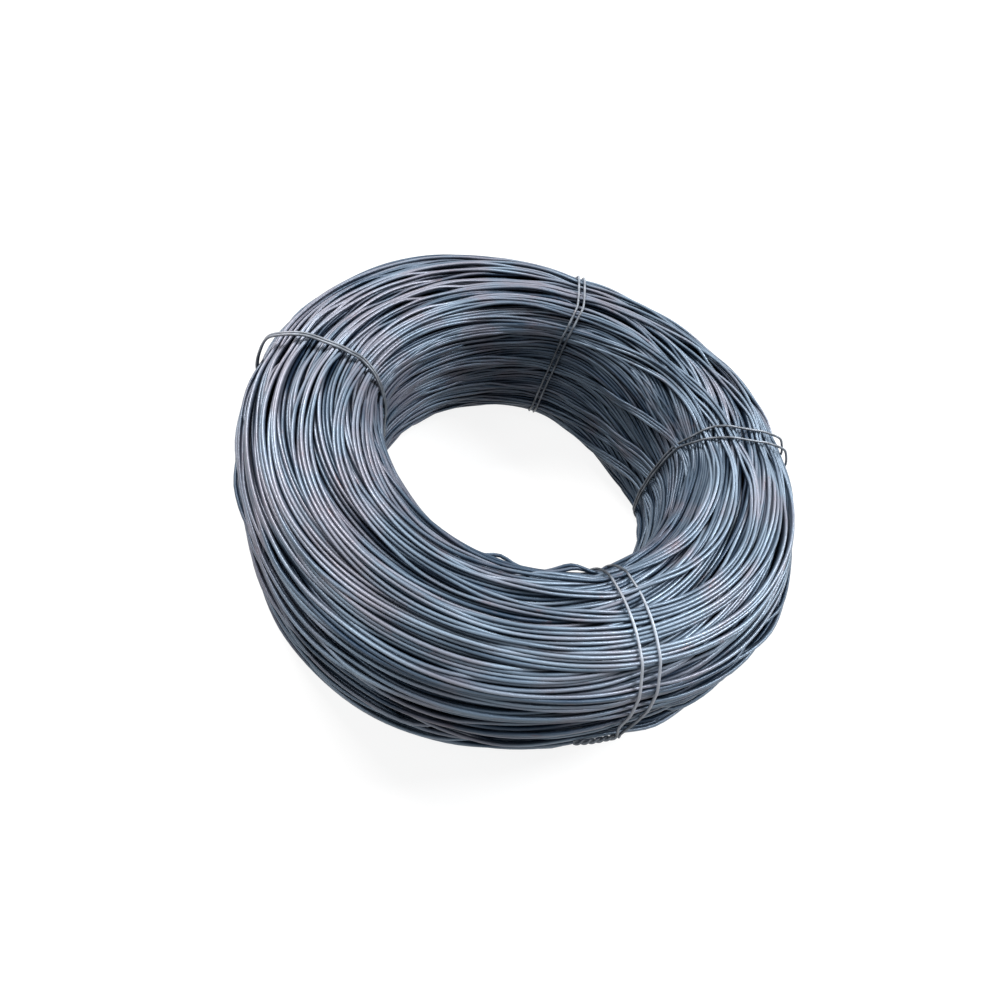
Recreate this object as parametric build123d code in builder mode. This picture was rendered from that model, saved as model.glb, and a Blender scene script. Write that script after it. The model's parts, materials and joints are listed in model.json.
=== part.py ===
from build123d import *
import os
from math import ceil, cos, radians, sin, sqrt

# Driving dimensions of the coil, in millimetres
rod_d = 5.5             # wire rod that the coil is wound from
outer_d = 900.0         # across the outermost turns
bore_d = 460.0          # clear opening through the middle
coil_h = 286.0          # height as it lies
outer_edge_r = 97.0     # rounding of the bundle at its outer edges
inner_edge_r = 69.0     # rounding of the bundle at the mouths of the bore
edge_bends = 5          # bends in each rounding, whose bands of turns lie flat
groove_depth = 2.0      # depth of the valley between two turns
rest_land = 36.0        # width of the band that lies flat on the floor

# Driving dimensions of the four binding wires
tie_d = 4.0             # binding wire
tie_sides = 6           # sides of the prism that a binding wire is made as
tie_seat = 0.3          # play between a tie and the turns that it holds
tie_recess = 1.0        # how far a tie is sunk below the bore wall and the underside
channel_play = 1.5      # room at each side of a tie in its channel
knot_height = 143.0     # height of the knot on the outer wall
knot_length = 30.0      # stretch where the two strands lie twisted together
splay_length = 30.0     # height in which the strands spread from the knot
tail_length = 60.0      # twisted tail beyond the knot
tail_slope = 30.0       # angle of the tail below level, degrees

# Spacing of each tie's two strands
left_spacing = 6.0
back_spacing = 12.0
right_spacing = 24.0
front_spacing = 22.0

# How much tighter than the coil's own rounding a tie bends over the outer shoulder,
# which makes it stand off there
left_slack = 35.0
back_slack = 6.0
right_slack = 31.0
front_slack = 0.0

# Each tie: azimuth in degrees, spacing and slack
ties = {
    "tie_left": (188.0, left_spacing, left_slack),
    "tie_back": (97.0, back_spacing, back_slack),
    "tie_right": (24.0, right_spacing, right_slack),
    "tie_front": (308.0, front_spacing, front_slack),
}

# Radii and depths that follow from the dimensions above
outer_r = outer_d / 2
bore_r = bore_d / 2
tie_r = tie_d / 2
channel_depth = tie_recess + tie_d + tie_seat
strand_lift = tie_seat + tie_r              # strand's axis above the turns
strand_inset = tie_recess + tie_r           # strand's axis inside the bore wall or underside
run_out = channel_depth * (1 + sqrt(0.5))   # brings the sunk line up half way round an edge
inner_lip_r = inner_edge_r - run_out
outer_lip_r = outer_edge_r - run_out
knot_r = tie_d + tie_seat                   # knot's axis above the outer wall
tool_margin = 30.0                          # how far a cutting shape stands outside the coil


def rounded_corners(inner, outer, low, high, radii):
    """Corner points of a rounded rectangle in radius and height, edge by edge.

    The edges come in the order outer top, inner top, inner bottom, outer bottom, and each
    is bent in equal steps whose sides touch the arc of its radius.
    """
    step = 90 / edge_bends
    points = []
    for i, radius in enumerate(radii):
        x = outer - radius if i in (0, 3) else inner + radius
        y = high - radius if i in (0, 1) else low + radius
        reach = radius / cos(radians(step / 2))
        for k in range(edge_bends):
            angle = radians(90 * i + step * (k + 0.5))
            points.append((x + reach * cos(angle), y + reach * sin(angle)))
    return points


def ridge_points(inner, outer, face_z, inward):
    """Corner points of the whole turns that fit across a flat band, from its inner edge out."""
    count = max(ceil((outer - inner) / rod_d) - 1, 0)
    first = (inner + outer - count * rod_d) / 2
    corners = range(2 * count + 1 if count else 0)
    return [(first + i * rod_d / 2, face_z + inward * groove_depth * (i % 2)) for i in corners]


def tie_plane(azimuth):
    """Plane through the coil's axis: x runs outward, y up."""
    a = radians(azimuth)
    return Plane(origin=(0, 0, 0), x_dir=(cos(a), sin(a), 0), z_dir=(sin(a), -cos(a), 0))


# Coil: one turned solid with its bore, its turns standing as ridges on both ends
with BuildPart() as wire_coil:
    with BuildSketch(Plane.XZ):
        inner_end = bore_r + inner_edge_r
        outer_end = outer_r - outer_edge_r
        land_mid = (inner_end + outer_end) / 2
        edge_radii = [outer_edge_r, inner_edge_r, inner_edge_r, outer_edge_r]
        edges = rounded_corners(bore_r, outer_r, 0, coil_h, edge_radii)
        with BuildLine():
            Polyline(
                *edges[:edge_bends],
                *reversed(ridge_points(inner_end, outer_end, coil_h, -1)),
                *edges[edge_bends:3 * edge_bends],
                *ridge_points(inner_end, land_mid - rest_land / 2, 0, 1),
                *ridge_points(land_mid + rest_land / 2, outer_end, 0, 1),
                *edges[3 * edge_bends:],
                close=True,
            )
        make_face()
    revolve(axis=Axis.Z)

    # Channels in which the ties sink below the bore wall and the underside
    sunk_radii = [outer_edge_r, inner_lip_r, inner_edge_r - channel_depth, outer_lip_r]
    sunk_line = rounded_corners(
        bore_r + channel_depth, outer_r, channel_depth, coil_h, sunk_radii
    )
    for azimuth, spacing, shoulder_slack in ties.values():
        with BuildSketch(tie_plane(azimuth)):
            with BuildLine():
                Polyline(
                    (bore_r - tool_margin, -tool_margin),
                    (outer_r + tool_margin, -tool_margin),
                    (outer_r + tool_margin, outer_edge_r / 2),
                    (bore_r + inner_edge_r / 2, outer_edge_r / 2),
                    (bore_r + inner_edge_r / 2, coil_h + tool_margin),
                    (bore_r - tool_margin, coil_h + tool_margin),
                    close=True,
                )
            make_face()
            with BuildLine():
                Polyline(*sunk_line, close=True)
            make_face(mode=Mode.SUBTRACT)
        extrude(amount=spacing / 2 + tie_r + channel_play, both=True, mode=Mode.SUBTRACT)


def twisted_stretch(start, direction, outward, length):
    """The two wires side by side, as the ribbon that their twist fills."""
    with BuildSketch(Plane(origin=start, x_dir=outward, z_dir=direction)) as ribbon:
        Rectangle(tie_d, 2 * tie_d)
    extrude(ribbon.sketch, amount=length)


def make_tie(azimuth, spacing, shoulder_slack):
    """One wire bent double round the section of the coil, its ends twisted together."""
    plane = tie_plane(azimuth)
    outer_line = outer_r + strand_lift
    knot_line = outer_r + knot_r
    knot_top = knot_height + knot_length / 2
    knot_low = knot_height - knot_length / 2
    loop_radii = [
        outer_edge_r + strand_lift - shoulder_slack,
        inner_lip_r + strand_lift,
        inner_edge_r - strand_inset,
        outer_lip_r + strand_lift,
    ]
    loop = rounded_corners(
        bore_r + strand_inset, outer_line, strand_inset, coil_h + strand_lift, loop_radii
    )
    with BuildPart() as tie:
        for side in (-1, 1):
            offset = side * spacing / 2
            with BuildLine(plane) as route:
                Polyline(
                    (knot_line, knot_top - tie_d, side * tie_r),
                    (outer_line, knot_top + splay_length, offset),
                    *[(x, y, offset) for x, y in loop],
                    (outer_line, knot_low - splay_length, offset),
                    (knot_line, knot_low + tie_d, side * tie_r),
                )
            path = route.wire()
            with BuildSketch(Plane(origin=path @ 0, z_dir=path % 0)):
                RegularPolygon(tie_r, tie_sides)
            sweep(path=path, transition=Transition.RIGHT)
        slope = radians(tail_slope)
        tail_direction = plane.z_dir * cos(slope) - plane.y_dir * sin(slope)
        knot_start = plane.from_local_coords(Vector(knot_line, knot_low, 0))
        tail_start = plane.from_local_coords(Vector(knot_line, knot_height, 0))
        twisted_stretch(knot_start, plane.y_dir, plane.x_dir, knot_length)
        twisted_stretch(tail_start, tail_direction, plane.x_dir, tail_length)
    return tie


# Binding wires
tie_parts = {name: make_tie(*sizes) for name, sizes in ties.items()}

os.makedirs("parts", exist_ok=True)
wire_coil.part.label = "wire_coil"
export_step(wire_coil.part, "parts/wire_coil.step")
for name, tie in tie_parts.items():
    tie.part.label = name
    export_step(tie.part, f"parts/{name}.step")
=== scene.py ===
import json
import math

import bpy
import numpy as np
from mathutils import Matrix, Vector


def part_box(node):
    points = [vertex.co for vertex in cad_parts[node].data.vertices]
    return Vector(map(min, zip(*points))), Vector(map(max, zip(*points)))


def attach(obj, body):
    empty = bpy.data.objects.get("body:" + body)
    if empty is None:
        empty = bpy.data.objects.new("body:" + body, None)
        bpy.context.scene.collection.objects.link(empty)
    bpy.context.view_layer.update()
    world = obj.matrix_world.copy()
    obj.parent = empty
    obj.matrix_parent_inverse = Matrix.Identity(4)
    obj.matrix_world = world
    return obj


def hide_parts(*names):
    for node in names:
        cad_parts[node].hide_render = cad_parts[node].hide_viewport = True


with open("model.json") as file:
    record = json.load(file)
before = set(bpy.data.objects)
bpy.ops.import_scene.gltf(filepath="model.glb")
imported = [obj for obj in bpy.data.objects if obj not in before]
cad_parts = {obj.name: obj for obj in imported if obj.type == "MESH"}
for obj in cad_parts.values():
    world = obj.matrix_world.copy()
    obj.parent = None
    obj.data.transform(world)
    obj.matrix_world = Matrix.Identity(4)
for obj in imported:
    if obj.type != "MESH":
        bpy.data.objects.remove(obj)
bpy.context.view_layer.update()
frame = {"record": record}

# Sizes in metres. The coil's own sizes come from the frame.
COIL_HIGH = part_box("wire_coil")[1]
HEIGHT = COIL_HIGH.z
OUTER_R = COIL_HIGH.x
BORE = next(m for m in frame["record"]["mounts"] if m["name"] == "bore")
BORE_R = BORE["dims"]["r_mm"] / 1000
OUTER_EDGE_R = 0.097
INNER_EDGE_R = 0.069
MID_R = (OUTER_R + BORE_R) / 2
MID_Z = HEIGHT / 2
ROD_R = 0.00275
ROD_D = 2 * ROD_R
TIE_R = 0.002

# The wires are laid one after another on a plain core, this far below the CAD surface. What
# they rest on is known for cells along the section and for samples round the ring.
CORE_DEPTH = 0.0235
CELL = 0.001
TURN_SAMPLES = 480
ARC_POINTS = 40

# How many cells to each side a wire can raise, how many samples to each side of a high spot it
# stays up, and the blur of its path in samples, before and after it is kept off what lies below
RAISED_CELLS = 9
BRIDGED = 3
BRIDGE_BLUR = 4.0
PATH_BLUR = 1.2

# Thick and thin places are levelled by this share towards a skin that lies this far below the
# CAD surface. They are found by a blur in samples round the ring and in metres along the section.
LEVELLING = 0.85
SKIN_DEPTH = 0.0055
SKIN_RING_BLUR = 3.0
SKIN_SECTION_BLUR = 0.016

# Painted shade, where 1 hides the steel: on a wire's flanks, on the bore wall, where it grows
# with the normal's lean towards the axis, and on a wire with this height of others above it
FLANK_PAINTED_SHADE = 0.75
BORE_PAINTED_SHADE = 0.46
BORE_PAINTED_SHADE_GAIN = 1.4
BORE_PAINTED_SHADE_START = 0.4
BURIED_AT = 0.011
BURIED_BLUR = 1.5

# The passes of the winding, from the innermost out: the distance between neighbours, how many
# wires a bunch has, the gap after it, the share of the bunches that are laid, how far the pass,
# a bunch and a wire stray along the section, the pieces that its wires are dealt to, the sides
# of a wire and how many samples one of its segments spans
PASSES = [
    dict(
        pitch=0.0062, sizes=(6, 12), gap=(0, 0.003), share=1.0, flow=(0.010, 0.016, 0.008),
        drift=0.002, wobble=0.0003, pieces=("turns_inmost",), sides=4, skip=5,
    ),
    dict(
        pitch=0.0058, sizes=(4, 10), gap=(0, 0.003), share=1.0, flow=(0.016, 0.018, 0.008),
        drift=0.003, wobble=0.0003, pieces=("turns_under_a", "turns_under_b"), sides=6, skip=4,
    ),
    dict(
        pitch=0.0056, sizes=(3, 8), gap=(0, 0.004), share=1.0, flow=(0.022, 0.016, 0.008),
        drift=0.0048, wobble=0.0003, pieces=("turns_outer_a", "turns_outer_b"), sides=8, skip=3,
    ),
    dict(
        pitch=0.0057, sizes=(2, 5), gap=(0.002, 0.026), share=0.65, flow=(0.026, 0.016, 0.006),
        drift=0.010, wobble=0.0005, pieces=("turns_loose",), sides=8, skip=3,
    ),
]

# Shares of a bunch's drift in its three waves, where the first two are drawn between limits, and
# the orders of a wire's own waves round the ring
FIRST_DRIFT = (0.4, 1)
SECOND_DRIFT = (0.2, 0.8)
THIRD_DRIFT = 0.3
WOBBLE_ORDERS = (3, 5, 8)

# Wires that stand up where the camera sees the near mouth of the bore against the background:
# azimuth in degrees, how high, half width in degrees. There the section's normal has turned
# by STRAY_LEAN degrees from facing outwards. They drift like a pass, and their tones are drawn
# between limits.
STRAYS = [(274.0, 0.003, 5.0), (300.0, 0.0070, 7.0), (301.5, 0.0035, 6.0)]
STRAY_LEAN = 154
STRAY_DRIFT = (0.004, 0.004, 0.002)
STRAY_TONES = (0.3, 0.8)

# Low waves of the outer wall and of the bore wall, as the photograph's outline shows them:
# order round the ring, amount and phase in degrees
OUTER_WAVES = [(2, 0.0065, 30.0), (3, 0.0060, 80.0), (4, 0.0030, -90.0), (5, 0.0030, -105.0)]
BORE_WAVES = [(2, 0.0035, 150.0), (3, 0.0035, 160.0), (4, 0.0025, 180.0)]

# The body below the wires, dark as painted shade: points along its section and sections round the
# ring
CORE_STEPS = 120
CORE_RINGS = 96

# Each tie: its azimuth in degrees, the spacing of its strands on top and in the bore, how far
# it bows off the outer shoulder, how far it presses in the bore wall with the underside, the
# mouth of the bore and the outer wall, how many degrees below level its tail points, how
# bright its wire is, and how far it strays from its plane at each of SWAY_ANGLES round the
# section, where 0 is the outer wall, 90 the top and 180 the bore
SWAY_ANGLES = (-30, 0, 45, 80, 110, 135, 160, 180, 230)
TIES = {
    "tie_left": dict(
        azimuth=188.0, spacing=0.0050, bore_spacing=0.0045, bow=0.013, pinch=0.006,
        squeeze=0.006, dent=0.0, tail_slope=28, tone=0.30,
        sway=(0, 0, 0.006, 0.018, 0.012, -0.010, -0.024, -0.024, 0),
    ),
    "tie_back": dict(
        azimuth=97.0, spacing=0.0110, bore_spacing=0.0090, bow=0.003, pinch=0.006,
        squeeze=0.002, dent=0.006, tail_slope=28, tone=0.50,
        sway=(0, 0, 0.002, 0.008, 0.016, 0.006, 0.004, 0.002, 0),
    ),
    "tie_right": dict(
        azimuth=24.0, spacing=0.0240, bore_spacing=0.0070, bow=0.007, pinch=0.014,
        squeeze=0.015, dent=0.0, tail_slope=28, tone=0.25,
        sway=(0, 0, -0.002, -0.005, -0.010, -0.014, -0.014, -0.014, 0),
    ),
    "tie_front": dict(
        azimuth=308.0, spacing=0.0270, bore_spacing=0.0260, bow=0.000, pinch=0.006,
        squeeze=0.002, dent=0.0, tail_slope=5, tone=1.10,
        sway=(0, 0.014, 0.001, -0.010, -0.015, -0.017, -0.017, -0.017, 0),
    ),
}

# Every tie bites this far into the top and the outer wall, over the first width. What is
# listed above presses over the second width.
TIE_BITE = 0.0030
TIE_BITE_WIDTH = 0.034
SQUEEZE_WIDTH = 0.075

# Ties: the height of the knot, the length of the tail and of one twist, the distance of the
# twisted wires from their axis, how deep the knot sits, and how far the strands stand out there
KNOT_Z = 0.143
TAIL = 0.062
TWIST_PITCH = 0.021
TWIST_R = TIE_R * 1.05
KNOT_DEPTH = 0.0010
KNOT_RISE = 0.0015

# The strands part over this distance from the knot, and take the spacing of the bore from this
# far outside the bore wall, over that width
PARTING = 0.035
BORE_SPACING_FROM = 0.075
BORE_SPACING_OVER = 0.060

# The loop off the outer shoulder: its middle and width in degrees about the shoulder's centre,
# and how far inside or below that centre it can begin
BOW_ANGLE = 45
BOW_WIDTH = 28
BOW_BEHIND = 0.02

# How a tie's wire is drawn: the directions in which it can touch a rod, the depth of the band
# that counts as outer wall, steps along a strand and a tail, rounds of smoothing, sides of the
# tube, and the shortest cross product that still gives its normal
TOUCH_SIDES = 16
WALL_BAND = 0.03
STRAND_STEP = 0.003
TAIL_STEP = 0.0015
ROUNDING = 6
TIE_SIDES = 10
SHORTEST_NORMAL = 0.2

# The tail is dark as painted shade. A strand gets its own brightness as painted light towards the
# top, from this far below it, and outside the bore, from this far off its wall over that width;
# elsewhere it is dark as painted shade.
TAIL_SHADED_TONE = 0.10
LIT_BELOW_TOP = 0.03
LIT_FROM_BORE = 0.03
LIT_OVER = 0.10

# Colours of the steel and of its painted shade, how metallic it is and the range of its roughness
STEELS = {
    "rod_steel": dict(
        dark=(0.015, 0.037, 0.070), light=(0.25, 0.33, 0.42), mauve=(0.21, 0.19, 0.225),
        rust=(0.15, 0.08, 0.08), painted_shade_colour=(0.003, 0.014, 0.034), metal=0.25, rough=(0.28, 0.45),
    ),
    # The body below the wires: all its colours dark as painted shade of the wires' gaps
    "core_steel_painted_shade": dict(
        dark=(0.008, 0.012, 0.018), light=(0.02, 0.028, 0.04), mauve=(0.02, 0.018, 0.022),
        rust=(0.02, 0.014, 0.014), painted_shade_colour=(0.008, 0.013, 0.020), metal=0.0, rough=(0.6, 0.8),
    ),
    "tie_steel": dict(
        dark=(0.035, 0.042, 0.052), light=(0.42, 0.47, 0.54), mauve=(0.33, 0.34, 0.38),
        rust=(0.16, 0.10, 0.10), painted_shade_colour=(0.03, 0.03, 0.03), metal=0.25, rough=(0.34, 0.55),
    ),
}

# Patterns on the steel: reach round the ring, density across it, detail and roughness of noise
STREAKS = (3.0, 60.0, 3.0, 0.5)
AREAS = (3.2, 14.0, 3.0, 0.6)
SPOTS = (14.0, 150.0, 4.0, 0.6)

# How the patterns turn into colours. A range has its start and its end and, if it has four
# numbers, the values at them.
STREAK_WEIGHT = 1.4
LIGHT_RANGE = (0.55, 1.75)
MAUVE_BY_TONE = 0.18
MAUVE_BY_X = (-0.35, 0.1, 0.05, -0.07)
MAUVE_RANGE = (0.52, 0.72, 0.0, 0.72)
RUST_RANGE = (0.60, 0.74)
RUST_BY_AREA = (0.40, 0.62, 0.25, 0.9)
PAINTED_SHADE_SHARE = 0.90
SPECULAR_BY_PAINTED_SHADE = (0.0, 1.0, 0.5, 0.15)
GRAIN_SCALE = 420.0
GRAIN_DETAIL = 4.0
GRAIN_RANGE = (0.3, 0.7)
BUMP_STRENGTH = 0.35
BUMP_DISTANCE = 0.0006

# Camera, fitted to the ring's outline in the photograph. Distances are in mean radii.
PHOTO_H = 1002
FOCAL_PX = 649.8
SENSOR_MM = 36.0
CAMERA_DISTANCE = 3.25
CAMERA_ELEVATION = 51.2
CAMERA_ROLL = 23.25
CAMERA_AIM = (-0.0324, -0.0444)
CLIP_START = 0.02

# Floor and light. The floor's glow grows to 1 between these distances from the axis. Each lamp
# has its place, its watts and its colour.
FLOOR_HALF = 30.0
FLOOR_COLOUR = 0.20
FLOOR_GLOW = 0.88
FLOOR_GLOW_FADE = (0.6, 1.6)
WORLD_LEVEL = 0.08
LAMP_SIZE = 2.0
LAMP_TARGET = (0, 0, 0.1)
LAMPS = {
    "left": ((-3.0, 1.7, 4.3), 350, (1.0, 0.98, 0.97)),
    "right": ((2.9, 2.2, 4.3), 370, (0.95, 0.98, 1.0)),
    "front": ((-2.6, -2.0, 4.3), 54, (0.95, 0.98, 1.0)),
}

SEED = 11
rng = np.random.default_rng(SEED)


def smooth_ring(values, width):
    """Blurs along the last axis, which runs round a ring, by a bell of that many samples."""
    n = values.shape[-1]
    gap = np.minimum(np.arange(n), n - np.arange(n))
    bell = np.exp(-0.5 * (gap / width) ** 2)
    bell /= bell.sum()
    return np.real(np.fft.ifft(np.fft.fft(values) * np.fft.fft(bell)))


def smooth_step(share):
    """Goes from 0 to 1 with level ends."""
    share = np.clip(share, 0, 1)
    return share * share * (3 - 2 * share)


def section_table(inset):
    """The core's section: a rounded rectangle in radius and height, with its normals and bends.

    Distance along it is measured on the coil's surface, so that the outermost wires lie evenly.
    """
    outer_x, inner_x = OUTER_R - OUTER_EDGE_R, BORE_R + INNER_EDGE_R
    centres = [
        (outer_x, HEIGHT - OUTER_EDGE_R, OUTER_EDGE_R),
        (inner_x, HEIGHT - INNER_EDGE_R, INNER_EDGE_R),
        (inner_x, INNER_EDGE_R, INNER_EDGE_R),
        (outer_x, OUTER_EDGE_R, OUTER_EDGE_R),
    ]
    points = [(OUTER_R - inset, MID_Z)]
    normals = [(1.0, 0.0)]
    bends = [0.0]
    for i, (cx, cz, radius) in enumerate(centres):
        core_r = radius - inset
        for a in np.radians(np.linspace(90 * i, 90 * (i + 1), ARC_POINTS)):
            points.append((cx + core_r * math.cos(a), cz + core_r * math.sin(a)))
            normals.append((math.cos(a), math.sin(a)))
            bends.append(1 / radius)
    points.append(points[0])
    normals.append(normals[0])
    bends.append(0.0)
    points, normals = np.array(points), np.array(normals)
    surface = points + inset * normals
    along = np.concatenate([[0], np.cumsum(np.hypot(*np.diff(surface, axis=0).T))])
    return along, points, normals, np.array(bends)


ALONG, POINTS, NORMALS, BENDS = section_table(CORE_DEPTH)
GIRTH = ALONG[-1]
CELLS = int(GIRTH / CELL)
CELL_SIZE = GIRTH / CELLS
THETA = np.arange(TURN_SAMPLES) * 2 * math.pi / TURN_SAMPLES


def place_of_normal(lean):
    """Distance along the section where the normal is this many degrees from facing outwards."""
    turned = np.unwrap(np.arctan2(NORMALS[:-1, 1], NORMALS[:-1, 0]))
    return float(np.interp(math.radians(lean), turned, ALONG[:-1]))


def on_section(s):
    """Radius, height and outward normal of the core's outline at distance s along it."""
    s = np.mod(s, GIRTH)
    x = np.interp(s, ALONG, POINTS[:, 0])
    z = np.interp(s, ALONG, POINTS[:, 1])
    nx = np.interp(s, ALONG, NORMALS[:, 0])
    nz = np.interp(s, ALONG, NORMALS[:, 1])
    length = np.hypot(nx, nz)
    return x, z, nx / length, nz / length


def angle_from(theta, azimuth):
    """Signed angle from an azimuth in degrees, between minus pi and pi."""
    return np.mod(theta - math.radians(azimuth) + math.pi, 2 * math.pi) - math.pi


def settle(s, theta):
    """How far out the bundle stands at a place, by the ties' pressure and the walls' waves."""
    x, _, nx, nz = on_section(s)
    outer, inner = np.clip(nx, 0, 1), np.clip(-nx, 0, 1)
    upper, lower = np.clip(nz, 0, 1), np.clip(-nz, 0, 1)
    mouth = inner * upper * 2
    shift = np.zeros_like(s)
    for tie in TIES.values():
        across = angle_from(theta, tie["azimuth"]) * x
        near = np.exp(-((across / TIE_BITE_WIDTH) ** 2))
        broad = np.exp(-((across / SQUEEZE_WIDTH) ** 2))
        shift -= near * TIE_BITE * np.minimum(outer + upper, 1)
        shift -= broad * (tie["pinch"] * np.minimum(inner + lower, 1) + tie["squeeze"] * mouth)
        shift -= broad * tie["dent"] * outer
    for waves, wall in ((OUTER_WAVES, outer), (BORE_WAVES, inner)):
        for order, amount, phase in waves:
            shift += amount * np.cos(order * theta - math.radians(phase)) * wall
    return shift


def wander(amounts, orders=(1, 2, 3)):
    """A slow drift along the section as a wire goes round, as a sum of a few waves."""
    path = np.zeros(TURN_SAMPLES)
    for order, amount in zip(orders, amounts):
        path += amount * np.cos(order * THETA + rng.uniform(0, 2 * math.pi))
    return path


class Laying:
    """Lays wires on the core one after another, each on top of those that it crosses.

    floor is the height above the core at which the axis of the next wire would lie. shift is
    how far out each place is moved in the end.
    """

    def __init__(self):
        self.floor = np.full((CELLS, TURN_SAMPLES), ROD_R)
        self.shift = np.zeros((CELLS, TURN_SAMPLES))
        self.columns = np.arange(TURN_SAMPLES)

    def between(self, s):
        """The two rows of cells that a wire runs between, and its share of the way across."""
        place = np.mod(s, GIRTH) / CELL_SIZE
        row = np.floor(place).astype(int)
        return row % CELLS, (row + 1) % CELLS, place - row

    def rest(self, s):
        """Height of a wire's axis above the core where it lies on the wires below."""
        here, beside, _ = self.between(s)
        support = np.maximum(self.floor[here, self.columns], self.floor[beside, self.columns])
        bridged = support.copy()
        for step in range(-BRIDGED, BRIDGED + 1):
            bridged = np.maximum(bridged, np.roll(support, step))
        lying = np.maximum(smooth_ring(bridged, BRIDGE_BLUR), support)
        return smooth_ring(lying, PATH_BLUR)

    def add(self, s, height):
        """Raises the surface on which later wires rest."""
        s = np.mod(s, GIRTH)
        stretch = 1 - np.interp(s, ALONG, BENDS) * (CORE_DEPTH - height)
        cell = np.floor(s / CELL_SIZE).astype(int)
        for step in range(-RAISED_CELLS, RAISED_CELLS + 2):
            away = ((cell + step) * CELL_SIZE - s) * stretch
            lift = height + np.sqrt(np.maximum(ROD_D ** 2 - away ** 2, 0))
            rows = (cell + step) % CELLS
            old = self.floor[rows, self.columns]
            raised = np.where(np.abs(away) < ROD_D, np.maximum(old, lift), old)
            self.floor[rows, self.columns] = raised

    def lay(self, s):
        """Lays a wire and returns the height of its axis above the core."""
        height = self.rest(s)
        self.add(s, height)
        return height

    def find_shift(self):
        """Finds how far out each place has to move for an even skin below the CAD surface."""
        skin = smooth_ring(self.floor - ROD_R, SKIN_RING_BLUR)
        skin = smooth_ring(skin.T, SKIN_SECTION_BLUR / CELL_SIZE).T
        self.shift = LEVELLING * (CORE_DEPTH - skin)
        self.shift += (1 - LEVELLING) * (CORE_DEPTH - skin.mean()) - SKIN_DEPTH

    def level(self, wires):
        """Moves wires by the shift, and adds how deeply each sample is buried, up to 1."""
        levelled = []
        for s, height, tone in wires:
            here, beside, part = self.between(s)
            shift = self.shift[here, self.columns] * (1 - part)
            shift_beside = self.shift[beside, self.columns] * part
            top = np.maximum(self.floor[here, self.columns], self.floor[beside, self.columns])
            # How deeply the wire is buried, which later sets its painted shade
            buried = np.clip((top - height - ROD_D) / BURIED_AT, 0, 1)
            buried = smooth_ring(buried, BURIED_BLUR)
            levelled.append((s, height + shift + shift_beside, tone, buried))
        return levelled


def bunches(pitch, sizes, gap, share):
    """Places of wires along the section, as lists of neighbours that lie side by side."""
    place, groups = rng.uniform(0, pitch), []
    while place < GIRTH - pitch:
        count = int(rng.integers(sizes[0], sizes[1] + 1))
        group = [place + i * pitch for i in range(count) if place + i * pitch < GIRTH - pitch]
        place += count * pitch + rng.uniform(*gap)
        if group and rng.uniform() < share:
            groups.append(group)
    return groups


def lay_pass(laying, plan, flow):
    """Lays every wire of a pass, and gives its path, its height at each sample, and its tone."""
    wires = []
    drift = plan["drift"]
    for group in bunches(plan["pitch"], plan["sizes"], plan["gap"], plan["share"]):
        first, second = rng.uniform(*FIRST_DRIFT), rng.uniform(*SECOND_DRIFT)
        own = wander([drift * first, drift * second, drift * THIRD_DRIFT])
        for place in group:
            s = place + flow + own + wander([plan["wobble"]] * 3, WOBBLE_ORDERS)
            wires.append((s, laying.lay(s), rng.uniform()))
    return wires


def lay_stray(laying, place, azimuth, lift, half_width):
    """A wire laid into the bundle that arches out of it at one azimuth."""
    s = place + wander(STRAY_DRIFT)
    s -= s[int(azimuth / 360 * TURN_SAMPLES)] - place
    out = np.exp(-((np.degrees(angle_from(THETA, azimuth)) / half_width) ** 2))
    return s, laying.rest(s) + lift * out - ROD_D * (1 - out), rng.uniform(*STRAY_TONES)


def wire_points(s, height):
    """Positions and outward normals of a wire, one for each sample round the ring."""
    x, z, nx, nz = on_section(s)
    h = height + settle(s, THETA)
    x = x + nx * h
    z = np.maximum(z + nz * h, ROD_R)
    c, k = np.cos(THETA), np.sin(THETA)
    points = np.stack([x * c, x * k, z], axis=1)
    normals = np.stack([nx * c, nx * k, nz], axis=1)
    return points, normals


def add_object(name, data):
    """A new object in the scene that shows the data."""
    thing = bpy.data.objects.new(name, data)
    bpy.context.scene.collection.objects.link(thing)
    return thing


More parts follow.
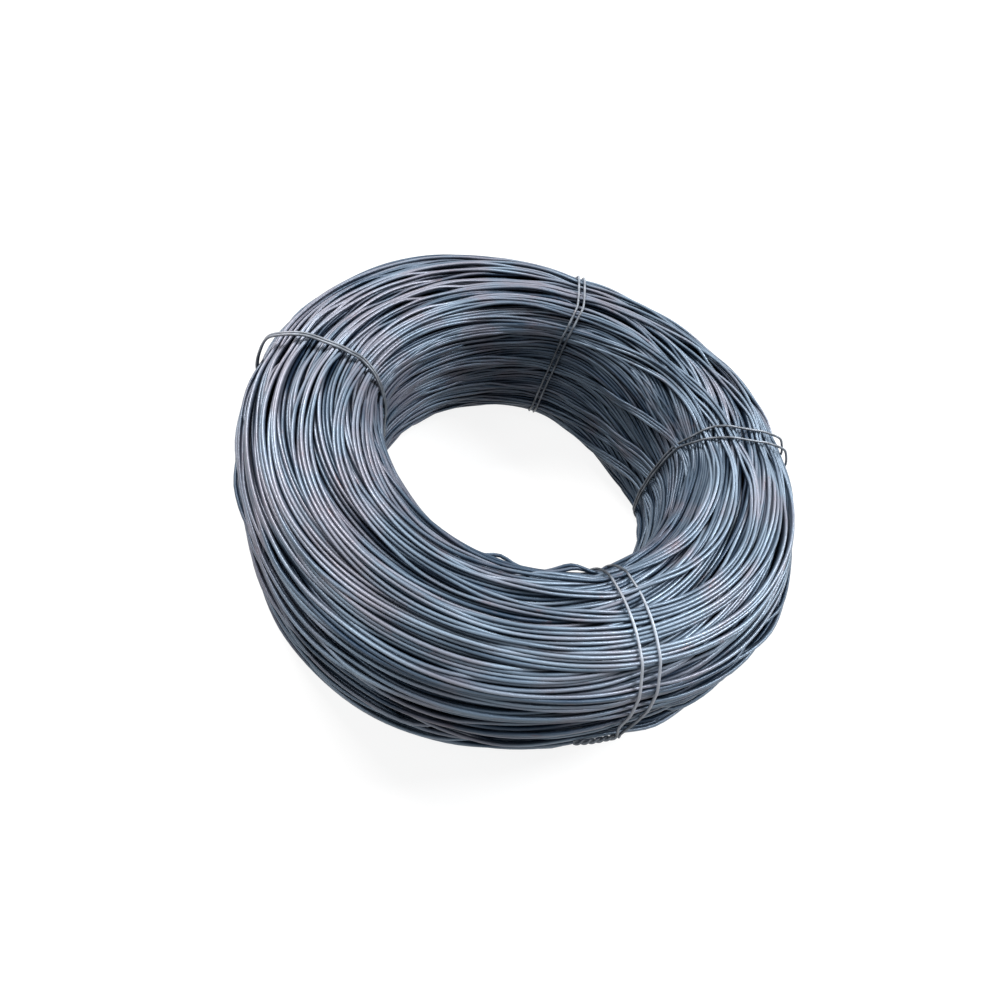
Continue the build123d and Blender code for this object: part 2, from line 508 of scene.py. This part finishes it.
def tube_object(name, paths, normals, radius, sides, closed, tones, painted_shades, flank_painted_shade=0.0):
    """One mesh of many tubes. paths and normals have the shape tubes, samples, 3."""
    paths, normals = np.asarray(paths), np.asarray(normals)
    tubes, samples, _ = paths.shape
    if closed:
        tangent = np.roll(paths, -1, axis=1) - np.roll(paths, 1, axis=1)
    else:
        tangent = np.gradient(paths, axis=1)
    tangent /= np.linalg.norm(tangent, axis=2, keepdims=True)
    side = np.cross(tangent, normals)
    side /= np.linalg.norm(side, axis=2, keepdims=True)
    out = np.cross(side, tangent)
    turn = np.arange(sides) * 2 * math.pi / sides
    ring = np.cos(turn)[:, None] * out[:, :, None, :] + np.sin(turn)[:, None] * side[:, :, None, :]
    verts = (paths[:, :, None, :] + radius * ring).reshape(-1, 3)

    index = np.arange(tubes * samples * sides).reshape(tubes, samples, sides)
    here = index if closed else index[:, :-1]
    there = np.roll(index, -1, axis=1) if closed else index[:, 1:]
    quads = np.stack(
        [here, np.roll(here, -1, axis=2), np.roll(there, -1, axis=2), there], axis=-1
    ).reshape(-1, 4)
    corners = quads.ravel()
    starts = np.arange(len(quads)) * 4
    if not closed:
        caps = np.concatenate([index[:, 0, ::-1], index[:, -1]])
        cap_starts = len(corners) + np.arange(len(caps)) * sides
        corners = np.concatenate([corners, caps.ravel()])
        starts = np.concatenate([starts, cap_starts])

    mesh = bpy.data.meshes.new(name)
    mesh.vertices.add(len(verts))
    mesh.vertices.foreach_set("co", verts.astype(np.float32).ravel())
    mesh.loops.add(len(corners))
    mesh.loops.foreach_set("vertex_index", corners.astype(np.int32))
    mesh.polygons.add(len(starts))
    mesh.polygons.foreach_set("loop_start", starts.astype(np.int32))
    mesh.update(calc_edges=True)
    mesh.validate()
    # Painted shade on the flanks of each wire, on the side away from its outward normal, joined
    # with the painted shade that is passed in
    flank = flank_painted_shade * (1 - np.clip(np.cos(turn), 0, 1))
    painted_shade = 1 - (1 - np.asarray(painted_shades).ravel()[:, None]) * (1 - flank)
    tone = np.repeat(np.asarray(tones).ravel(), sides)
    for attribute, values in (("tone", tone), ("painted_shade", painted_shade.ravel())):
        layer = mesh.attributes.new(attribute, "FLOAT", "POINT")
        layer.data.foreach_set("value", values.astype(np.float32))
    mesh.shade_smooth()
    return add_object(name, mesh)


def coil_piece(name, wires, sides, skip, material):
    """Joined wires of one part of the coil, thinned to every skip-th sample."""
    paths, normals, tones, painted_shades = [], [], [], []
    for s, height, tone, buried in wires:
        points, outward = wire_points(s, height)
        # Painted shade on the bore wall, which grows as the normal leans towards the axis, joined
        # with the painted shade of buried wires
        inward = -on_section(s)[2]
        shaded = BORE_PAINTED_SHADE * np.clip(inward * BORE_PAINTED_SHADE_GAIN - BORE_PAINTED_SHADE_START, 0, 1)
        paths.append(points[::skip])
        normals.append(outward[::skip])
        tones.append(np.full(TURN_SAMPLES // skip, tone))
        painted_shades.append((1 - (1 - buried) * (1 - shaded))[::skip])
    piece = tube_object(name, paths, normals, ROD_R, sides, True, tones, painted_shades, FLANK_PAINTED_SHADE)
    piece.data.materials.append(material)
    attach(piece, "root")
    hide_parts("wire_coil")


# Materials
def math_node(tree, operation, first, second):
    """A math node on two values, each a number or another node's output."""
    step = tree.nodes.new("ShaderNodeMath")
    step.operation = operation
    for socket, value in zip(step.inputs, (first, second)):
        if isinstance(value, (int, float)):
            socket.default_value = value
        else:
            tree.links.new(value, socket)
    return step.outputs[0]


def vector_node(tree, operation, *values):
    """A vector math node whose inputs are the outputs of other nodes."""
    step = tree.nodes.new("ShaderNodeVectorMath")
    step.operation = operation
    for socket, value in zip(step.inputs, values):
        tree.links.new(value, socket)
    return step


def range_node(tree, value, low, high, to_low=0.0, to_high=1.0):
    """Spreads a value from low..high to to_low..to_high, and stops at both ends."""
    spread = tree.nodes.new("ShaderNodeMapRange")
    limits = (("From Min", low), ("From Max", high), ("To Min", to_low), ("To Max", to_high))
    for key, number in limits:
        spread.inputs[key].default_value = number
    tree.links.new(value, spread.inputs["Value"])
    return spread.outputs[0]


def mix_node(tree, share, first, second):
    """Mixes two colours, each three numbers or another node's output."""
    mix = tree.nodes.new("ShaderNodeMix")
    mix.data_type = "RGBA"
    tree.links.new(share, mix.inputs["Factor"])
    for key, value in (("A", first), ("B", second)):
        if isinstance(value, tuple):
            mix.inputs[key].default_value = (*value, 1)
        else:
            tree.links.new(value, mix.inputs[key])
    return mix.outputs["Result"]


def noise_node(tree, vector, scale, detail, roughness=0.5, w=None):
    """Noise at a place, in three dimensions, or four if w is given."""
    noise = tree.nodes.new("ShaderNodeTexNoise")
    noise.inputs["Scale"].default_value = scale
    noise.inputs["Detail"].default_value = detail
    noise.inputs["Roughness"].default_value = roughness
    tree.links.new(vector, noise.inputs["Vector"])
    if w is not None:
        noise.noise_dimensions = "4D"
        tree.links.new(w, noise.inputs["W"])
    return noise.outputs["Fac"]


def wire_noise(tree, place, reach, density, detail, roughness):
    """Noise that changes slowly round the ring and quickly across it, with no seam.

    Its coordinates are the direction from the axis, scaled by reach, with the radius as the
    third number and the height as the fourth, both scaled by density.
    """
    split = tree.nodes.new("ShaderNodeSeparateXYZ")
    tree.links.new(place, split.inputs[0])
    flat = tree.nodes.new("ShaderNodeCombineXYZ")
    tree.links.new(split.outputs["X"], flat.inputs["X"])
    tree.links.new(split.outputs["Y"], flat.inputs["Y"])
    around = vector_node(tree, "NORMALIZE", flat.outputs[0])
    far = vector_node(tree, "SCALE", around.outputs[0])
    far.inputs["Scale"].default_value = reach
    length = vector_node(tree, "LENGTH", flat.outputs[0]).outputs["Value"]
    outward = tree.nodes.new("ShaderNodeCombineXYZ")
    tree.links.new(math_node(tree, "MULTIPLY", length, density), outward.inputs["Z"])
    vector = vector_node(tree, "ADD", far.outputs[0], outward.outputs[0]).outputs[0]
    height = math_node(tree, "MULTIPLY", split.outputs["Z"], density)
    return noise_node(tree, vector, 1.0, detail, roughness, height)


def steel(name, dark, light, mauve, rust, painted_shade_colour, metal, rough):
    """Scaled steel wire: a tone for each wire, broad mauve areas, rusty streaks, painted shade in
    the gaps.
    """
    material = bpy.data.materials.new(name)
    material.use_nodes = True
    tree = material.node_tree
    tree.nodes.clear()
    link = tree.links.new
    out = tree.nodes.new("ShaderNodeOutputMaterial")
    shader = tree.nodes.new("ShaderNodeBsdfPrincipled")
    shader.inputs["Metallic"].default_value = metal
    link(shader.outputs["BSDF"], out.inputs["Surface"])
    place = tree.nodes.new("ShaderNodeTexCoord").outputs["Object"]
    tone_node = tree.nodes.new("ShaderNodeAttribute")
    tone_node.attribute_name = "tone"
    tone = tone_node.outputs["Fac"]
    painted_shade_node = tree.nodes.new("ShaderNodeAttribute")
    painted_shade_node.attribute_name = "painted_shade"
    painted_shade = painted_shade_node.outputs["Fac"]

    # Light and dark stretches of each wire
    streak = wire_noise(tree, place, *STREAKS)
    brightness = math_node(tree, "ADD", tone, math_node(tree, "MULTIPLY", streak, STREAK_WEIGHT))
    colour = mix_node(tree, range_node(tree, brightness, *LIGHT_RANGE), dark, light)

    # Broad areas of mauve scale, more of them on the left
    area = wire_noise(tree, place, *AREAS)
    mauve_share = math_node(tree, "ADD", area, math_node(tree, "MULTIPLY", tone, MAUVE_BY_TONE))
    split = tree.nodes.new("ShaderNodeSeparateXYZ")
    link(place, split.inputs[0])
    bias = range_node(tree, split.outputs["X"], *MAUVE_BY_X)
    mauve_share = math_node(tree, "ADD", mauve_share, bias)
    colour = mix_node(tree, range_node(tree, mauve_share, *MAUVE_RANGE), colour, mauve)

    # Short streaks of thin rust
    spots = range_node(tree, wire_noise(tree, place, *SPOTS), *RUST_RANGE)
    rusty = math_node(tree, "MULTIPLY", spots, range_node(tree, area, *RUST_BY_AREA))
    colour = mix_node(tree, rusty, colour, rust)

    # Painted shade: wires that lie below others, the flanks of wires and the bore wall are darker
    # and reflect less
    # Mixes in the painted shade colour where the painted shade attribute is high
    colour = mix_node(tree, math_node(tree, "MULTIPLY", painted_shade, PAINTED_SHADE_SHARE), colour, painted_shade_colour)
    link(colour, shader.inputs["Base Color"])
    link(range_node(tree, painted_shade, *SPECULAR_BY_PAINTED_SHADE), shader.inputs["Specular IOR Level"])

    grain = noise_node(tree, place, GRAIN_SCALE, GRAIN_DETAIL)
    link(range_node(tree, grain, *GRAIN_RANGE, *rough), shader.inputs["Roughness"])
    bump = tree.nodes.new("ShaderNodeBump")
    bump.inputs["Strength"].default_value = BUMP_STRENGTH
    bump.inputs["Distance"].default_value = BUMP_DISTANCE
    link(grain, bump.inputs["Height"])
    link(bump.outputs["Normal"], shader.inputs["Normal"])
    return material


# Coil
def build_coil(material):
    """Winds the coil, and gives how it was laid and all its wires."""
    laying = Laying()
    flows = [wander(plan["flow"]) for plan in PASSES]
    laid = [lay_pass(laying, plan, flow) for plan, flow in zip(PASSES, flows)]
    stray_place = place_of_normal(STRAY_LEAN)
    for azimuth, lift, half_width in STRAYS:
        laid[-1].append(lay_stray(laying, stray_place, azimuth, lift, half_width))
    laying.find_shift()
    laid = [laying.level(wires) for wires in laid]
    for plan, wires in zip(PASSES, laid):
        names = plan["pieces"]
        for i, name in enumerate(names):
            coil_piece(name, wires[i::len(names)], plan["sides"], plan["skip"], material)
    return laying, [wire for wires in laid for wire in wires]


def build_core(laying, material):
    """Plain body below the wires, where their gaps end, coloured dark as painted shade."""
    s = np.arange(CORE_STEPS) * GIRTH / CORE_STEPS
    x, z, nx, nz = on_section(s)
    turn = np.arange(CORE_RINGS) * 2 * math.pi / CORE_RINGS
    rows = (s / CELL_SIZE).astype(int) % CELLS
    push = np.array([settle(s, np.full(CORE_STEPS, a)) for a in turn])
    push += laying.shift[rows][:, ::TURN_SAMPLES // CORE_RINGS].T
    px = x + nx * push
    pz = np.maximum(z + nz * push, ROD_R)
    verts = np.stack([px * np.cos(turn)[:, None], px * np.sin(turn)[:, None], pz], axis=-1)
    index = np.arange(CORE_RINGS * CORE_STEPS).reshape(CORE_RINGS, CORE_STEPS)
    ahead = np.roll(index, -1, axis=0)
    quads = np.stack(
        [index, ahead, np.roll(ahead, -1, axis=1), np.roll(index, -1, axis=1)], axis=-1
    ).reshape(-1, 4)
    mesh = bpy.data.meshes.new("coil_core")
    mesh.from_pydata(verts.reshape(-1, 3).tolist(), [], quads.tolist())
    mesh.shade_smooth()
    piece = add_object("coil_core", mesh)
    piece.data.materials.append(material)
    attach(piece, "root")
    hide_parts("wire_coil")


# Ties
def hull(points):
    """Convex outline of points in a plane, anticlockwise."""
    points = points[np.lexsort((points[:, 1], points[:, 0]))]

    def half(seq):
        chain = []
        for p in seq:
            while len(chain) > 1:
                a, b = chain[-2], chain[-1]
                if (b[0] - a[0]) * (p[1] - a[1]) - (b[1] - a[1]) * (p[0] - a[0]) > 0:
                    break
                chain.pop()
            chain.append(p)
        return chain[:-1]

    return np.array(half(points) + half(points[::-1]))


def resample(points, step):
    """Points of a closed line about a step apart."""
    points = np.vstack([points, points[:1]])
    along = np.concatenate([[0], np.cumsum(np.linalg.norm(np.diff(points, axis=0), axis=1))])
    at = np.linspace(0, along[-1], int(along[-1] / step) + 1)
    line = np.stack([np.interp(at, along, points[:, i]) for i in range(points.shape[1])], axis=1)
    return line[:-1]


def taut_line(wires, azimuth):
    """Closed line in radius and height that a tight wire takes round the bundle."""
    sample = int(round(math.radians(azimuth) / (2 * math.pi) * TURN_SAMPLES)) % TURN_SAMPLES
    spots = []
    reach = ROD_R + TIE_R
    for s, height, *_ in wires:
        for k in (sample - 1, sample, sample + 1):
            k %= TURN_SAMPLES
            x, z, nx, nz = on_section(s[k])
            h = height[k] + settle(np.array([s[k]]), THETA[k:k + 1])[0]
            for a in np.linspace(0, 2 * math.pi, TOUCH_SIDES, endpoint=False):
                spots.append((x + nx * h + reach * math.cos(a), z + nz * h + reach * math.sin(a)))
    spots = np.array(spots)
    spots[:, 1] = np.maximum(spots[:, 1], TIE_R)
    return resample(hull(spots), STRAND_STEP)


def wall_radius(wires, azimuth, z):
    """Radius of the bundle's outer wall at an azimuth in degrees and a height."""
    line = taut_line(wires, azimuth)
    line = line[line[:, 0] > MID_R]
    return line[np.argmin(np.abs(line[:, 1] - z)), 0]


def round_off(points, times):
    """Softens an open line, with its ends kept."""
    for _ in range(times):
        inner = (points[:-2] + 2 * points[1:-1] + points[2:]) / 4
        points = np.vstack([points[:1], inner, points[-1:]])
    return points


def tie_strand(line, side, tie):
    """One strand from the knot round the bundle and back, as radius, height and offset.

    The offset is the distance from the tie's plane, and side is -1 or 1 for the two strands.
    """
    off_wall = line[:, 0] < line[:, 0].max() - WALL_BAND
    start = int(np.argmin(np.where(off_wall, np.inf, np.abs(line[:, 1] - KNOT_Z))))
    line = np.roll(line, -start, axis=0)
    away = line - np.array([OUTER_R - OUTER_EDGE_R, HEIGHT - OUTER_EDGE_R])
    angle = np.degrees(np.arctan2(away[:, 1], away[:, 0]))
    bow = np.exp(-(((angle - BOW_ANGLE) / BOW_WIDTH) ** 2)) * (away.min(axis=1) > -BOW_BEHIND)
    unit = away / np.linalg.norm(away, axis=1, keepdims=True)
    line = line + unit * (tie["bow"] * bow)[:, None]
    n = len(line)
    far = np.minimum(np.arange(n), n - 1 - np.arange(n)) * STRAND_STEP
    spread = smooth_step(far / PARTING)
    in_bore = smooth_step((BORE_R + BORE_SPACING_FROM - line[:, 0]) / BORE_SPACING_OVER)
    apart = tie["spacing"] + (tie["bore_spacing"] - tie["spacing"]) * in_bore
    offset = side * (TWIST_R + (apart / 2 - TWIST_R) * spread)
    turned = np.degrees(np.arctan2(line[:, 1] - MID_Z, line[:, 0] - MID_R))
    offset += np.interp(np.mod(turned + 90, 360) - 90, SWAY_ANGLES, tie["sway"])
    return np.column_stack([line[:, 0] + KNOT_RISE * (1 - spread), line[:, 1], offset])


def helix(start, heading, phase, fall):
    """Points of one of the two twisted wires of a tail that bends inward by fall at its end.

    They are given as radius, height and offset from the tie's plane.
    """
    heading = np.asarray(heading, float)
    heading /= np.linalg.norm(heading)
    side = np.cross(heading, (1.0, 0.0, 0.0))
    side /= np.linalg.norm(side)
    up = np.cross(side, heading)
    t = np.linspace(0, 1, int(TAIL / TAIL_STEP))
    a = 2 * math.pi * (TAIL / TWIST_PITCH) * t + phase
    axis = start + heading * (TAIL * t)[:, None] - up * (fall * t ** 2)[:, None]
    return axis + TWIST_R * (np.cos(a)[:, None] * side + np.sin(a)[:, None] * up)


def tie_tails(tie, wires, knot):
    """The two twisted wires of a tail that starts at the knot and ends on the outer wall."""
    slope = math.radians(tie["tail_slope"])
    end_offset = knot[2] + TAIL * math.cos(slope)
    end_azimuth = tie["azimuth"] - math.degrees(end_offset / OUTER_R)
    end_radius = wall_radius(wires, end_azimuth, KNOT_Z - TAIL * math.sin(slope))
    fall = knot[0] - math.sqrt(end_radius ** 2 - end_offset ** 2)
    heading = (0.0, -math.sin(slope), math.cos(slope))
    return [helix(knot, heading, phase, fall) for phase in (0, math.pi)]


def build_tie(name, wires, material):
    """A doubled tie round the bundle with its twisted tail, joined to one piece."""
    tie = TIES[name]
    azimuth = math.radians(tie["azimuth"])
    out = np.array([math.cos(azimuth), math.sin(azimuth), 0])
    along = np.array([math.sin(azimuth), -math.cos(azimuth), 0])
    up = np.array([0, 0, 1.0])
    line = taut_line(wires, tie["azimuth"])
    strands = [round_off(tie_strand(line, side, tie), ROUNDING) for side in (-1, 1)]
    knot = (strands[0][0] + strands[1][0]) / 2
    knot[0] -= KNOT_DEPTH
    pieces = []
    for i, path in enumerate(strands + tie_tails(tie, wires, knot)):
        world = path[:, :1] * out + path[:, 1:2] * up + path[:, 2:3] * along
        tangent = np.gradient(world, axis=0)
        tangent /= np.linalg.norm(tangent, axis=1, keepdims=True)
        normal = np.cross(along, tangent)
        normal[np.linalg.norm(normal, axis=1) < SHORTEST_NORMAL] = out
        # The tail's tone is painted shade; a strand is painted lit towards the top and outside the
        # bore, and painted in shade lower down and in the bore
        tone = np.full(len(world), TAIL_SHADED_TONE)
        if i < len(strands):
            high = (world[:, 2] - KNOT_Z) / (HEIGHT - KNOT_Z - LIT_BELOW_TOP)
            outer = (world @ out - BORE_R - LIT_FROM_BORE) / LIT_OVER
            lit = np.clip(high, 0, 1) * np.clip(outer, 0, 1)
            tone = TAIL_SHADED_TONE + (tie["tone"] - TAIL_SHADED_TONE) * lit
        # No painted shade attribute on a tie's wire
        unshaded = np.zeros(len(world))
        pieces.append(
            tube_object(f"{name}_{i}", [world], [normal], TIE_R, TIE_SIDES, False, [tone], [unshaded])
        )
    for piece in pieces:
        piece.data.materials.append(material)
    with bpy.context.temp_override(active_object=pieces[0], selected_editable_objects=pieces):
        bpy.ops.object.join()
    piece = pieces[0]
    piece.name = f"{name}_wire"
    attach(piece, "root")
    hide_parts(name)


# Camera, light and floor
def build_camera():
    """Camera at the photograph's angle, turned a little off the coil's centre by its aim."""
    elevation, roll = math.radians(CAMERA_ELEVATION), math.radians(CAMERA_ROLL)
    back = np.array([0, -math.cos(elevation), math.sin(elevation)])
    level_up = np.array([0, math.sin(elevation), math.cos(elevation)])
    level_right = np.array([1.0, 0, 0])
    right = level_right * math.cos(roll) + level_up * math.sin(roll)
    up = -level_right * math.sin(roll) + level_up * math.cos(roll)
    ahead = -back + CAMERA_AIM[0] * right + CAMERA_AIM[1] * up
    ahead /= np.linalg.norm(ahead)
    right -= (right @ ahead) * ahead
    right /= np.linalg.norm(right)
    up = np.cross(right, ahead)
    data = bpy.data.cameras.new("camera")
    data.sensor_width = SENSOR_MM
    data.lens = FOCAL_PX * SENSOR_MM / PHOTO_H
    data.clip_start = CLIP_START
    camera = add_object("camera", data)
    matrix = Matrix([(*right, 0), (*up, 0), (*(-ahead), 0), (0, 0, 0, 1)]).transposed()
    matrix.translation = Vector(np.array([0, 0, MID_Z]) + back * CAMERA_DISTANCE * MID_R)
    camera.matrix_world = matrix
    bpy.context.scene.camera = camera


def area_light(name, at, power, colour):
    """A square lamp that points at the coil."""
    data = bpy.data.lights.new(name, "AREA")
    data.size = LAMP_SIZE
    data.energy = power
    data.color = colour
    lamp = add_object(name, data)
    lamp.location = at
    lamp.rotation_euler = (Vector(LAMP_TARGET) - Vector(at)).to_track_quat("-Z", "Y").to_euler()


def seen_directly(tree):
    """1 for camera, mirror-like and see-through rays, which see the plain backdrop, else 0."""
    path = tree.nodes.new("ShaderNodeLightPath").outputs
    seen = math_node(tree, "MAXIMUM", path["Is Camera Ray"], path["Is Glossy Ray"])
    return math_node(tree, "MAXIMUM", seen, path["Is Transmission Ray"])


def build_floor():
    """White floor that keeps the coil's shadow."""
    size = FLOOR_HALF
    mesh = bpy.data.meshes.new("floor")
    corners = [(-size, -size, 0), (size, -size, 0), (size, size, 0), (-size, size, 0)]
    mesh.from_pydata(corners, [], [(0, 1, 2, 3)])
    floor = add_object("floor", mesh)
    material = bpy.data.materials.new("floor_white")
    material.use_nodes = True
    tree = material.node_tree
    tree.nodes.clear()
    link = tree.links.new
    out = tree.nodes.new("ShaderNodeOutputMaterial")
    add = tree.nodes.new("ShaderNodeAddShader")
    matt = tree.nodes.new("ShaderNodeBsdfDiffuse")
    matt.inputs["Color"].default_value = (FLOOR_COLOUR, FLOOR_COLOUR, FLOOR_COLOUR, 1)
    glow = tree.nodes.new("ShaderNodeEmission")
    place = tree.nodes.new("ShaderNodeTexCoord").outputs["Object"]
    away = vector_node(tree, "LENGTH", place).outputs["Value"]
    level = range_node(tree, away, *FLOOR_GLOW_FADE, FLOOR_GLOW, 1.0)
    link(math_node(tree, "MULTIPLY", seen_directly(tree), level), glow.inputs["Strength"])
    link(matt.outputs[0], add.inputs[0])
    link(glow.outputs[0], add.inputs[1])
    link(add.outputs[0], out.inputs["Surface"])
    mesh.materials.append(material)


def build_world():
    """White backdrop that lights the coil only a little."""
    world = bpy.data.worlds.new("studio")
    world.use_nodes = True
    tree = world.node_tree
    tree.nodes.clear()
    link = tree.links.new
    out = tree.nodes.new("ShaderNodeOutputWorld")
    back = tree.nodes.new("ShaderNodeBackground")
    back.inputs["Color"].default_value = (1.0, 1.0, 1.0, 1)
    level = range_node(tree, seen_directly(tree), 0.0, 1.0, WORLD_LEVEL, 1.0)
    link(level, back.inputs["Strength"])
    link(back.outputs[0], out.inputs["Surface"])
    bpy.context.scene.world = world


build_camera()
materials = {name: steel(name, **look) for name, look in STEELS.items()}
laying, coil_wires = build_coil(materials["rod_steel"])
build_core(laying, materials["core_steel_painted_shade"])
for tie_name in TIES:
    build_tie(tie_name, coil_wires, materials["tie_steel"])
build_floor()
build_world()
for lamp_name, (place, power, colour) in LAMPS.items():
    area_light(lamp_name, place, power, colour)

scene = bpy.context.scene
scene.view_settings.view_transform = "Standard"
